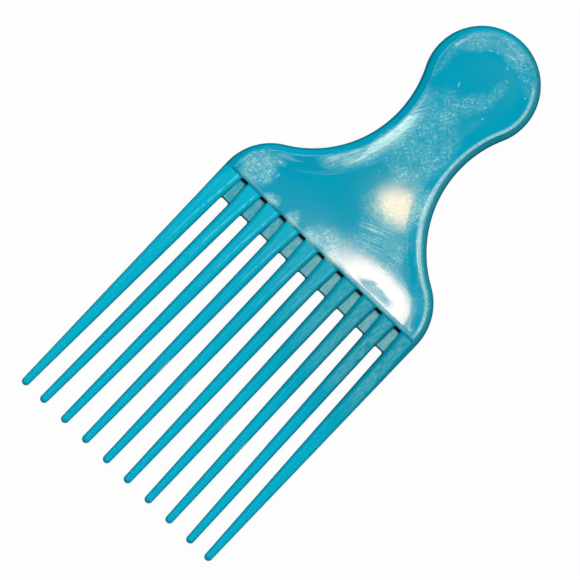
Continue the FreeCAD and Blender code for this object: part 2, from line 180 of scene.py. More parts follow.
def edge_distance(x, y):
    """How far inside the outline a place lies; large where no edge is near."""
    place = Vector((abs(x), y))
    found = [HALF_WIDTH]
    if y <= SHOULDER.y:
        found.append(HALF_WIDTH - place.x)
    from_shoulder = place - SHOULDER
    if 0 <= math.atan2(from_shoulder.y, from_shoulder.x) <= SHOULDER_TURN:
        found.append(SHOULDER_RADIUS - from_shoulder.length)
    to_neck = NECK - place
    if DISC_TURN <= math.atan2(to_neck.y, to_neck.x) <= SHOULDER_TURN:
        found.append(to_neck.length - NECK_RADIUS)
    from_disc = place - DISC
    if math.atan2(from_disc.y, from_disc.x) >= DISC_TURN:
        found.append(DISC_RADIUS - from_disc.length)
    return min(found)


def edge_profile():
    """Inset and rise of each ring from the side wall over the slope to the rim."""
    rings = []
    for step in range(ROUND_STEPS + 1):
        turn = SLOPE_TURN * step / ROUND_STEPS
        rings.append((WALL_EDGE_RADIUS * (1 - math.cos(turn)),
                      WALL_EDGE_RADIUS * (math.sin(turn) - HALF_BEND)))
    for step in range(ROUND_STEPS + 1):
        turn = SLOPE_TURN * (1 - step / ROUND_STEPS)
        rings.append((BEVEL + FACE_EDGE_RADIUS * (HALF_BEND - math.sin(turn)),
                      BEVEL - FACE_EDGE_RADIUS * (1 - math.cos(turn))))
    rings.append((BEVEL + RIM_LAND, BEVEL))
    return rings


def round_edge(side):
    """Inset the selected face ring by ring, each ring a little higher."""
    bpy.ops.mesh.select_mode(type="FACE")
    rings = edge_profile()
    for (inset, rise), (next_inset, next_rise) in zip(rings, rings[1:]):
        bpy.ops.mesh.inset(thickness=next_inset - inset, use_even_offset=True)
        bpy.ops.transform.translate(value=(0, 0, side * (next_rise - rise)))


def clamped(amount):
    return min(max(amount, 0.0), 1.0)


def eased(amount):
    """Nought to one, fast at first and level at the end."""
    return 1 - (1 - clamped(amount)) ** 2


def face_height(x, y):
    """Height of the front face inside its rim; the hollow is deepest above the teeth."""
    reach = LEFT_RAMP + (RIGHT_RAMP - LEFT_RAMP) * clamped(x / SIDE_SHIFT + 0.5)
    along_ramp = (edge_distance(x, y) - BEVEL - RIM_LAND) / reach
    ramp = CREASE * clamped(along_ramp) + (1 - CREASE) * eased(along_ramp)
    toe = eased((y - TOE_LINE) / DISH_TOE)
    fall = clamped((DISC.y - y) / (DISC.y - DEEPEST))
    return THICKNESS - DISH_DEPTH * (1 - DISC_SHARE + DISC_SHARE * fall) * ramp * toe


def wedge(low_x, high_x, upward, run, drop):
    """A cutter over the handle's end; its slope meets the root line at drop from the face."""
    face = THICKNESS if upward else 0.0
    side = 1 if upward else -1
    corners = {(-1, 1): (-2 * run, drop), (-1, -1): (-2 * run, -3 * drop),
               (1, -1): (run, 0.0), (1, 1): (2 * run, drop)}
    bpy.ops.object.select_all(action="DESELECT")
    bpy.ops.mesh.primitive_cube_add(size=1)
    cutter = bpy.context.object
    for vertex in cutter.data.vertices:
        y, z = corners[(1 if vertex.co.y > 0 else -1, 1 if vertex.co.z > 0 else -1)]
        vertex.co = (high_x if vertex.co.x > 0 else low_x, ROOT_LINE + y, face + side * z)
    bpy.ops.object.mode_set(mode="EDIT")
    bpy.ops.mesh.select_all(action="SELECT")
    bpy.ops.mesh.normals_make_consistent(inside=False)
    bpy.ops.object.mode_set(mode="OBJECT")
    return cutter


def cut(piece, cutter):
    """Take a cutter's volume off a piece, and the cutter away."""
    select_only(piece)
    boolean = piece.modifiers.new("cut", "BOOLEAN")
    boolean.operation = "DIFFERENCE"
    boolean.solver = "EXACT"
    boolean.object = cutter
    bpy.ops.object.modifier_apply(modifier="cut")
    bpy.data.objects.remove(cutter)


def make_plate():
    """The handle's body: outline, sloped and rounded edges, and an open front."""
    places = outline()
    bend = WALL_EDGE_RADIUS * HALF_BEND
    bpy.ops.object.select_all(action="DESELECT")
    bpy.ops.mesh.primitive_circle_add(vertices=len(places), fill_type="NGON")
    plate = bpy.context.object
    for vertex, place in zip(plate.data.vertices, places):
        vertex.co = (place.x, place.y, BEVEL + bend)
    bpy.ops.object.mode_set(mode="EDIT")
    bpy.ops.mesh.select_all(action="SELECT")
    rise = THICKNESS - 2 * (BEVEL + bend)
    bpy.ops.mesh.extrude_region_move(TRANSFORM_OT_translate={"value": (0, 0, rise)})
    round_edge(1)
    bpy.ops.mesh.delete(type="ONLY_FACE")
    bpy.ops.object.mode_set(mode="OBJECT")
    mark(plate, face_test=lambda face: len(face.vertices) == len(places))
    bpy.ops.object.mode_set(mode="EDIT")
    round_edge(-1)
    bpy.ops.object.mode_set(mode="OBJECT")
    return plate


def make_face_grid():
    """The part of the front face that a grid can cover, level for now."""
    columns = round(2 * HALF_WIDTH / GRID_CELL)
    rows = round((handle_high.y - ROOT_LINE) / GRID_CELL) + SPARE_ROWS
    low_y = ROOT_LINE - SPARE_ROWS * GRID_CELL
    bpy.ops.object.select_all(action="DESELECT")
    bpy.ops.mesh.primitive_grid_add(x_subdivisions=columns, y_subdivisions=rows, size=1)
    grid = bpy.context.object
    for vertex in grid.data.vertices:
        vertex.co = (vertex.co.x * columns * GRID_CELL,
                     low_y + (vertex.co.y + 0.5) * rows * GRID_CELL, THICKNESS)
    limit = BEVEL + RIM_LAND + GRID_CELL / 2
    mark(grid, vertex_test=lambda place: edge_distance(place.x, place.y) < limit)
    bpy.ops.object.mode_set(mode="EDIT")
    bpy.ops.mesh.select_mode(type="VERT")
    bpy.ops.mesh.delete(type="VERT")
    bpy.ops.object.mode_set(mode="OBJECT")
    return grid


def closed_handle():
    """The plate with the grid in its open front, cut off square at the root line."""
    grid = make_face_grid()
    handle = make_plate()
    select_only(grid, handle)
    bpy.ops.object.join()
    bpy.ops.object.mode_set(mode="EDIT")
    bpy.ops.mesh.select_mode(type="EDGE")
    bpy.ops.mesh.select_all(action="DESELECT")
    bpy.ops.mesh.select_non_manifold(use_wire=False, use_multi_face=False,
                                     use_non_contiguous=False, use_verts=False)
    bpy.ops.mesh.fill(use_beauty=True)
    bpy.ops.mesh.select_all(action="SELECT")
    bpy.ops.mesh.normals_make_consistent(inside=False)
    bpy.ops.mesh.bisect(plane_co=(0, ROOT_LINE, 0), plane_no=(0, 1, 0), clear_inner=True,
                        use_fill=True)
    bpy.ops.object.mode_set(mode="OBJECT")
    return handle


def make_handle():
    """The closed plate, with its hollow face, the step and the notches above the webs."""
    handle = closed_handle()
    for vertex in handle.data.vertices:
        if vertex.co.z > THICKNESS - HAIR:
            vertex.co.z = face_height(vertex.co.x, vertex.co.y)
    for upward in (True, False):
        cut(handle, wedge(-2 * HALF_WIDTH, 2 * HALF_WIDTH, upward, STEP_RUN, STEP_DROP))
        for web in WEBS:
            low, high = root_span(web)
            cut(handle, wedge(low.x, high.x, upward, WEB_NOTCH_RUN, low.z))
    layer = handle.data.attributes.new(EDGE_LAYER, "FLOAT", "POINT")
    for vertex in handle.data.vertices:
        layer.data[vertex.index].value = edge_distance(vertex.co.x, vertex.co.y)
    select_only(handle)
    bpy.ops.object.shade_smooth_by_angle(angle=PLATE_CREASE_TURN)
    handle.data.materials.clear()
    handle.name = "grip_and_plate"
    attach(handle, "root")
    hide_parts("handle")
    return handle


def make_web(name):
    """A web with hollow corners where its lip runs into the teeth."""
    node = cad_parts[name]
    web = node.copy()
    web.data = node.data.copy()
    web.data.materials.clear()
    bpy.context.scene.collection.objects.link(web)
    select_only(web)
    bpy.ops.object.mode_set(mode="EDIT")
    bpy.ops.mesh.select_all(action="SELECT")
    bpy.ops.mesh.remove_doubles(threshold=HAIR)
    bpy.ops.mesh.customdata_custom_splitnormals_clear()
    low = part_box(name)[0]
    front = [vertex.co.x for vertex in web.data.vertices if vertex.co.y < low.y + HAIR]
    walls = [min(front), max(front)]
    for share in FILLET_STEPS:
        for wall, side in zip(walls, (1, -1)):
            bpy.ops.mesh.select_all(action="SELECT")
            bpy.ops.mesh.bisect(plane_co=(wall + side * share * FILLET, 0, 0),
                                plane_no=(1, 0, 0))
    bpy.ops.object.mode_set(mode="OBJECT")
    for vertex in web.data.vertices:
        off_wall = max(min(vertex.co.x - walls[0], walls[1] - vertex.co.x), 0.0)
        if vertex.co.y < low.y + LIP and off_wall < FILLET:
            drop = FILLET - math.sqrt(FILLET ** 2 - (FILLET - off_wall) ** 2)
            vertex.co.y -= drop * min((low.y + LIP - vertex.co.y) / LIP, 1.0)
    select_only(web)
    bpy.ops.object.shade_smooth_by_angle(angle=WEB_CREASE_TURN)
    web.name = name + "_frosted"
    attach(web, "root")
    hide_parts(name)
    return web


# Colours.
TEAL = (0.0, 0.400, 0.610, 1)
# Lit and shaded copies of the teeth's teal, for painted shade on the right-hand teeth.
LIT_TOOTH_TEAL = (0.0, 0.515, 0.750, 1)
SHADED_TOOTH_TEAL = (0.0, 0.325, 0.465, 1)
# Painted shade for walls, sides and edges that face away from the light.
PAINTED_SHADE_TEAL = (0.0, 0.150, 0.210, 1)
# Painted shade for the right-hand slope of the rim.
SHADED_TEAL = (0.02, 0.24, 0.24, 1)
FROST_TEAL = (0.03, 0.42, 0.53, 1)
FROST_GREY = (0.38, 0.60, 0.61, 1)
# Worn haze, in part a painted reflection; on the teeth's crowns a painted reflection only.
HAZE_AND_REFLECTION_TEAL = (0.15, 0.61, 0.70, 1)
# Scratches and smears, and painted highlights on rims, step, teeth and web lips.
SCRATCH_AND_HIGHLIGHT_WHITE = (0.38, 0.80, 0.86, 1)
# Painted highlight along the teeth's ridges, also the colour of their scratches.
GLEAM = (0.11, 0.80, 0.95, 1)
# Painted shadow for the notches above the webs and the webs' root and sides.
PAINTED_SHADOW_DARK = (0.002, 0.012, 0.015, 1)
TABLE_WHITE = (0.9, 0.9, 0.9, 1)
WHITE = (1, 1, 1, 1)

# Plastic: how rough the colour is, and how clear the gloss over it.
ROUGHNESS = 0.46
GLOSS_INDEX = 1.5
GLOSS = 0.9
GLOSS_ROUGHNESS = 0.05
WALL_GLOSS = 0.1
TOOTH_GLOSS = 0.08
TOOTH_GLOSS_ROUGHNESS = 0.15
FROST_SHEEN = 0.1
MOST_SMUDGED = 0.88

# Relief: its strength and its depth. The plate's strength is a least one and what wear adds;
# its height is made up of broad unevenness and of the lines of wiping.
PLATE_RELIEF = (0.18, 0.82, 0.00001)
UNEVEN_HEIGHT = 4.0
WIPED_HEIGHT = 2.2
TOOTH_RELIEF = (0.3, 0.00002)
WEB_RELIEF = (0.5, 0.00004)

# Noises: cells in a metre, detail, roughness, distortion.
PATCHES = (210, 4.0, 0.65)
CURLS = (1500, 2.0, 0.6, 1.5)
UNEVENNESS = (120, 2.0, 0.5)
BREAKS = (380, 3.0, 0.7)
SPECKS = (2600, 2.0, 0.7)
PUSHES = (3.0, 0.6, 0.0)
CIRCLES = (1.0, 2.0, 0.6)

# How far places are pushed about to make edges ragged: pushes in a metre, reach in mm.
RAGGED = (260, 1.6)
RAGGED_CIRCLES = (90, 1.2)
RAGGED_MARKS = (1100, 0.4)

# Fine lines: turn in degrees, reach along and across in mm, detail, roughness.
STROKES = (97, 3.0, 0.36)
ALONG_LEFT_RIM = (62, 5.0, 0.36)
RISING_FLECKS = (64, 1.5, 0.30, 1.0, 0.5)
FALLING_FLECKS = (-40, 1.2, 0.30, 1.0, 0.5)
DOWN_TEETH = (0, 0.42, 2.6, 4.0)
TOOTH_FLECKS = (80, 0.9, 0.22, 1.0, 0.5)
WEB_CLOUDS = (0, 0.6, 2.2, 4.0, 0.7)

# The directions in which the plate has been wiped: a fine line's turn and reaches, and a share.
WIPING = [
    (52, 4.2, 0.42, 0.4),
    (-38, 3.6, 0.42, 0.3),
    (80, 3.6, 0.40, 0.3),
]

# Where the fine lines run in circles about the crescent highlight, as scratches that catch its
# light: a painted highlight. The circles' middle in metres, and how many cells of noise there
# are in a metre outwards and in one radian around.
IN_CIRCLES = [(14, 14, 21, 12, -12, 0.6, 1.0)]
SCRATCH_GLINT_MIDDLE = (0.018, -0.012)
CELLS_OUTWARDS = 3000
CELLS_AROUND = 2.8

# From here on, a pair of numbers says where something is nought and where it is whole.

# Distances inside the outline, in mm.
WALL = (0.8, 0.1)
WALL_GLOSS_END = (0.4, 1.2)
RIGHT_SLOPE = (2.2, 1.6)
LEFT_RIM_REFLECTION_BAND = ((1.9, 2.9), (8.2, 5.0))
RIGHT_RIM_HIGHLIGHT_BAND = ((1.8, 2.2), (3.2, 2.7))
LEFT_FOOT_BAND = ((6.6, 7.4), (9.6, 8.6))
RIGHT_FOOT_BAND = ((4.4, 5.2), (7.4, 6.4))

# Heights, in mm.
FACE_LEVEL = (4.75, 4.95)
BACK_LEVEL = (0.30, 0.10)
STEP_LEVEL = (5.2, 5.5)
NOTCH_SHADE_LEVEL = (2.25, 2.05)
GLINT_LEVEL = (0.1, 0.9)

# Places along the pick, counted up from the root line, and across it, in mm.
RIGHT_SIDE = (-4, 4)
STEP_EDGE = (2.1, 1.7)
NEAR_STEP = (3.6, 1.8)
UNDER_STEP = (1.6, 1.3)
NOTCH_SHADE_WIDTH = (33.0, 32.5)
WEB_ROOT = (-0.35, 0.25)
WEB_LIP = (-6.70, -7.0)
WEB_GLEAM_BAND = ((-6.75, -6.55), (-6.15, -6.4))
WEBS_RIGHT = (-45, 10)

# Places down the teeth and across them, in mm.
TEETH_RIGHT = (-30, 30)
TOOTH_SHADE_DOWN = (48, 6)
TOOTH_FLECKS_DOWN = (45, 10)
RIDGE_DOWN = (38, 6)
RIDGE = (0.45, 0.05)
RIDGE_LEAN_DOWN = (20, -2)
RIDGE_LEAN = 1.15 * MM
RIDGE_SHIFT = 0.2 * MM
CROWN = (1.9, 0.9)
CROWN_DOWN = (14, 2)
CROWN_SPREAD = 16 * MM

# How fast the teeth spread, and their half height at the root and how fast it shrinks, for each
# metre down them; then shares of that half height.
TEETH_SPREAD = 1.0
TOOTH_HALF = 0.0022
TOOTH_TAPER = 0.0116
TOOTH_SIDE = (0.66, 0.18)
TOOTH_TOP = (0.55, 0.85)

# Half the width of a web at the root line, how much that grows down the teeth, and the edge
# in mm beyond it that is darkened as painted shade.
WEB_HALF = 0.00116
WEB_FLARE = -0.045
WEB_SIDES = (-0.40, 0.05)

# Strengths of the noises.
PATCHY = (0.36, 0.66)
STREAKY = (0.44, 0.60)
BRIGHT_STREAKS = (0.56, 0.68)
RISING = (0.60, 0.68)
FALLING = (0.62, 0.70)
STROKED = (0.44, 0.64)
SMEAR_CURLS = (0.48, 0.60)
WEAR_AND_REFLECTION_CURLS = (0.52, 0.62)
RIGHT_RIM_HIGHLIGHT_CURLS = (0.42, 0.58)
LEFT_RIM_REFLECTION_LINES = (0.38, 0.62)
BROKEN = (0.34, 0.62)
CROWN_LINES = (0.30, 0.72)
TOOTH_FLECKED = (0.68, 0.76)
CLOUDY = (0.34, 0.66)
SPECKLED = (0.45, 0.7)

# The lists below hold soft ovals of the front face, in mm and degrees: x, y, reach along and
# across, turn, softness, strength.

# Where the front face is worn dull and pale; in part this pale haze is a painted reflection.
WEAR_AND_REFLECTION = [
    (19, 13, 19, 13, -8, 0.5, 0.60),
    (4, 27, 11, 12, 20, 0.4, 0.8),
    (4.5, 12.5, 6, 8, 0, 0.5, 0.5),
    (-0.5, 43, 10.5, 14, 0, 0.4, 0.95),
    (-10, 35, 2.6, 9, 8, 0.8, 0.9),
    (-15, 25.5, 1.9, 6, -42, 0.9, 0.8),
    (4.4, 70, 2.6, 5.5, 5, 0.7, 0.7),
    (2.0, 62, 3.8, 8, -32, 0.7, 0.8),
    (-3, 56, 7.5, 7, 0, 0.7, 0.7),
    (0, 80.5, 14, 4.0, 0, 0.7, 0.85),
    (-10, 76, 6, 4.0, 48, 0.7, 0.85),
    (9, 77.5, 6, 3.0, -38, 0.8, 0.6),
    (-13, 66, 2.2, 9, 5, 0.9, 0.5),
]

# A painted reflection along the left rim and a painted highlight line along the right rim.
LEFT_RIM_REFLECTION = [
    (-9.5, 42, 5.5, 17, 0, 0.8, 1.4),
    (-14.5, 26, 5.5, 10, -42, 0.7, 1.3),
]
RIGHT_RIM_HIGHLIGHT = [
    (12, 52, 7, 34, -4, 0.3, 1.0),
    (22, 19, 7, 16, 52, 0.6, 1.7),
    (34, 7, 4, 7, 20, 0.7, 1.3),
]

# A painted highlight along the edge above the teeth.
STEP_HIGHLIGHT = [
    (9, 1.5, 28, 3, 0, 0.3, 0.8),
    (-26, 1.5, 10, 3, 0, 0.6, 0.3),
]

# Where it has stayed clean and deep in colour, without worn haze or painted reflection.
CLEAN = [
    (-12, 10.5, 17, 8.5, 10, 0.3, 1.0),
    (-6.5, 24, 4.4, 10.5, -25, 0.3, 1.0),
    (22.0, 14.0, 9.0, 3.2, -36, 0.7, 1.0),
    (-5.5, 69, 7, 5, 10, 0.6, 0.9),
    (10, 63, 3.8, 14, 0, 0.6, 0.9),
    (18.8, 18.8, 6.5, 2.6, -38, 0.9, 0.65),
]

# Smears over worn and clean places alike.
SMEARS = [
    (-30.3, 6.4, 6.4, 6.4, 0, 0.5, 0.9),
    (-26.8, 11.6, 2.4, 1.4, 25, 0.8, 0.8),
    (-21.2, 2.2, 3.4, 2.4, 0, 1.0, 1.4),
    (-13.4, 2.4, 3.0, 3.4, 0, 1.0, 1.4),
    (-5.7, 2.4, 3.8, 3.0, 0, 1.0, 1.7),
    (2, 2.6, 3.4, 3.4, 0, 0.9, 2.0),
    (-1.5, 5, 7.5, 5, 10, 0.9, 0.9),
    # This smear also paints the pale edge of the blob lamp's reflection.
    (2.5, 21, 5.5, 3.2, 30, 0.9, 0.7),
    (11.2, 29.5, 3.0, 9.0, 12, 0.9, 1.1),
    (17.5, 5.2, 4, 1.2, 0, 0.9, 0.3),
]

# Greasy smudges that take the shine off.
SMUDGES = [
    (18.4, 3.7, 9.4, 2.2, 2, 0.7, 0.9),
    (15.5, 4.8, 3.0, 1.0, 25, 0.9, 0.5),
    (34.2, 3.7, 1.5, 1.5, 0, 0.6, 0.9),
    (-30.5, 7.5, 4.0, 4.0, 0, 0.5, 0.6),
]

# Single marks that stand out.
MARKS = [
    (-9.3, 75.5, 0.83, 0.2, 40, 1, 1.36),
    (-5.2, 76.6, 1.12, 0.18, 20, 1, 1.36),
    (-3.2, 77.6, 0.6, 0.18, -60, 1, 1.19),
    (1.8, 76.2, 0.9, 0.18, -20, 1, 1.36),
    (5.9, 76.9, 0.68, 0.2, 60, 1, 1.36),
    (4.1, 73.4, 0.83, 0.2, 5, 1, 1.53),
    (11.4, 73.5, 0.52, 0.2, 30, 1, 1.19),
    (-5.2, 63.2, 1.12, 0.22, -62, 1, 1.36),
    (4.8, 63.6, 0.75, 0.2, 35, 1, 1.36),
    (6.6, 60.8, 0.38, 0.35, 0, 1, 1.53),
    (-1, 55.6, 1.35, 0.18, 18, 1, 1.19),
    (0.4, 47.6, 1.2, 0.2, 65, 1, 1.19),
    (-27, 11.5, 0.9, 0.5, 10, 1, 1.02),
    (-24.8, 8.1, 0.22, 1.4, 0, 1, 1.19),
    (1.6, 34.2, 0.68, 0.45, 10, 1, 1.36),
    (-1.2, 38, 0.9, 0.25, -20, 1, 1.27),
    (-4.6, 29.5, 0.6, 0.18, -35, 1, 1.02),
]

# Painted highlights: thin bright lines low on the right side of four teeth.
GLINTS = [
    (-10.75, -53.2, 0.24, 4.2, -1.4, 0.5, 0.9),
    (-2.68, -52.0, 0.22, 2.6, -0.9, 0.6, 0.9),
    (13.40, -53.2, 0.22, 3.4, 0, 0.6, 0.9),
    (21.45, -55.0, 0.22, 3.6, 0.5, 0.6, 0.9),
]

# The floor, which shows white to the camera, and the light of the room.
FLOOR_SIZE = 4.0
FLOOR_HEIGHT = -0.00005
FLOOR_ROUGHNESS = 0.9
FLOOR_SHEEN = 0.1
FLOOR_GLOW = 0.95
ROOM_LIGHT = 0.015

# Lamps that light the edges from the side: name, place, width, length, brightness.
SIDE_LAMPS = [
    ("side_left", (-0.86, 0.25, 0.95), 0.5, 0.8, 3.0),
    ("side_back", (-0.1, 0.78, 0.95), 0.9, 0.5, 4.4),
    ("side_right", (0.74, 0.1, 0.95), 0.5, 0.8, 2.1),
]

# Level lamps over the pick. A level face would mirror each at its x and y, in mm; a ramp or
# slope of the rim mirrors the ones that lie further out. Name, x, y, width, length, brightness,
# colour, shape, turn in degrees, height in metres.
LAMP_HEIGHT = 0.6
HIGH_LAMP_HEIGHT = 4 * LAMP_HEIGHT
GOLD = (1.0, 0.60, 0.24)
PEACH = (1.0, 0.68, 0.50)
CREAM = (1.0, 0.92, 0.83)
STRAW = (1.0, 0.95, 0.75)
IVORY = (1.0, 0.97, 0.85)
OVERHEAD_LAMPS = [
    ("blob", 6.8, 30, 15, 12, 28, GOLD, "ELLIPSE", 28, LAMP_HEIGHT),
    ("crescent", 38.5, 253, 56, 136, 32, PEACH, "ELLIPSE", 0, HIGH_LAMP_HEIGHT),
    ("right_edge", -250, -108, 120, 380, 6, CREAM, "RECTANGLE", 27.9, LAMP_HEIGHT),
    ("veil", 54, 34, 96, 76, 0.9, STRAW, "RECTANGLE", 0, LAMP_HEIGHT),
    ("left_edge", 130, 25, 110, 90, 6.5, IVORY, "RECTANGLE", 0, LAMP_HEIGHT),
    ("top_edge", 90, -500, 400, 350, 2.5, IVORY, "RECTANGLE", 0, HIGH_LAMP_HEIGHT),
]

# The way from the pick to a mirrored lamp, for each metre of the lamp's height.
MIRRORED = Vector((-VIEW_BACK.x, -VIEW_BACK.y, VIEW_BACK.z)) / VIEW_BACK.z


class Value:
    """A number or colour that changes over a piece, and takes part in sums."""

    def __init__(self, finish, socket):
        self.finish = finish
        self.socket = socket

    def maths(self, operation, *others):
        """A sum with this number as its first part."""
        inputs = dict(enumerate((self, *others)))
        return self.finish.node("ShaderNodeMath", {"operation": operation}, inputs)

    def __add__(self, other):
        return self.maths("ADD", other)

    def __sub__(self, other):
        return self.maths("SUBTRACT", other)

    def __mul__(self, other):
        return self.maths("MULTIPLY", other)

    def __truediv__(self, other):
        return self.maths("DIVIDE", other)

    def __rsub__(self, other):
        return (self * -1) + other

    __radd__ = __add__
    __rmul__ = __mul__

    def above(self, low, high):
        """Nought at low, one at high, smooth between; low may be the larger."""
        return self.finish.node("ShaderNodeMapRange", {"interpolation_type": "SMOOTHSTEP"},
                                {"Value": self, "From Min": low, "From Max": high})

    def beyond(self, low, high):
        """The same for a length, with low and high in millimetres."""
        return self.above(low * MM, high * MM)

    def within(self, rise, fall):
        """One inside a band of lengths, with a soft edge on both sides."""
        return self.beyond(*rise) * self.beyond(*fall)

    def at_most(self, limit):
        return self.maths("MINIMUM", limit)

    def size(self):
        """The number without its sign."""
        return self.maths("ABSOLUTE")

    def off_web(self):
        """From a place across the pick, how far it is from the middle of the nearest web."""
        return self.maths("PINGPONG", HALF_PITCH)

    def off_tooth(self):
        """From a place across the pick, how far it is from the middle of its tooth."""
        return HALF_PITCH - self.off_web()

    def part(self, index):
        """One coordinate of a place."""
        return self.finish.node("ShaderNodeSeparateXYZ", {}, {"Vector": self}, index)


class Finish:
    """A material under construction."""

    def __init__(self, name):
        self.material = bpy.data.materials.new(name)
        self.material.use_nodes = True
        self.tree = self.material.node_tree
        self.shader = self.tree.nodes["Principled BSDF"]
        self.place = self.node("ShaderNodeTexCoord", {}, {}, "Object")
        self.x, self.y, self.z = (self.place.part(axis) for axis in range(3))

    def node(self, kind, settings, inputs, output=0):
        """Add a node, set it up, feed its sockets and give one of its outputs."""
        node = self.tree.nodes.new(kind)
        for name, setting in settings.items():
            setattr(node, name, setting)
        for name, source in inputs.items():
            self.feed(node.inputs[name], source)
        return Value(self, node.outputs[output])

    def feed(self, socket, source):
        """Link a value to a socket, or set the socket to something constant."""
        if isinstance(source, Value):
            self.tree.links.new(source.socket, socket)
        else:
            socket.default_value = source

    def set(self, **sockets):
        """Feed the shader's own sockets, named with _ for a space."""
        for name, source in sockets.items():
            self.feed(self.shader.inputs[name.replace("_", " ")], source)

    def seen_from(self, place, x, y, turn, reach_x, reach_y):
        """Places counted from a spot of the face, in its own directions and reaches."""
        return self.node("ShaderNodeMapping", {"vector_type": "TEXTURE"},
                         {"Vector": place, "Location": (x, y, 0),
                          "Rotation": (0, 0, math.radians(turn)),
                          "Scale": (reach_x, reach_y, 1.0)})

    def noise(self, place, scale, detail=2.0, roughness=0.5, distortion=0.0, output=0):
        """Cloudy noise between nought and one, with scale cells to a metre."""
        return self.node("ShaderNodeTexNoise", {},
                         {"Vector": place, "Scale": scale, "Detail": detail,
                          "Roughness": roughness, "Distortion": distortion}, output)

    def lines(self, place, turn, along, across, detail=2.0, roughness=0.6):
        """Noise drawn out on the face, with its two reaches in millimetres."""
        seen = self.seen_from(place, 0, 0, turn, along * MM, across * MM)
        return self.noise(seen, 1.0, detail, roughness)

    def vector(self, operation, *sources):
        """A sum of places."""
        return self.node("ShaderNodeVectorMath", {"operation": operation},
                         dict(enumerate(sources)))

    def length(self, place):
        """How far a place lies from nought."""
        return self.node("ShaderNodeVectorMath", {"operation": "LENGTH"}, {0: place}, "Value")

    def wavering(self, place, scale, reach):
        """Places moved by up to a reach in millimetres, to make what is drawn there ragged."""
        push = self.vector("SUBTRACT", self.noise(place, scale, *PUSHES, 1), (0.5, 0.5, 0.5))
        push = self.node("ShaderNodeVectorMath", {"operation": "SCALE"},
                         {0: push, "Scale": 2 * reach * MM})
        return self.vector("ADD", place, push)

    def spots(self, place, rows):
        """Soft ovals of the face: x, y, two reaches, turn, softness, strength."""
        total = 0.0
        for x, y, reach_x, reach_y, turn, soft, strength in rows:
            seen = self.seen_from(place, x * MM, y * MM, turn, reach_x * MM, reach_y * MM)
            total = self.length(seen).above(1.0, 1.0 - soft) * strength + total
        return total

    def mix(self, amount, first, second):
        """A colour between two, by amount."""
        return self.node("ShaderNodeMix", {"data_type": "RGBA"},
                         {0: amount, 6: first, 7: second}, 2)

    def bump(self, relief, strength, depth):
        """A surface direction that shows a relief."""
        return self.node("ShaderNodeBump", {}, {"Height": relief, "Strength": strength,
                                                "Distance": depth}, "Normal")


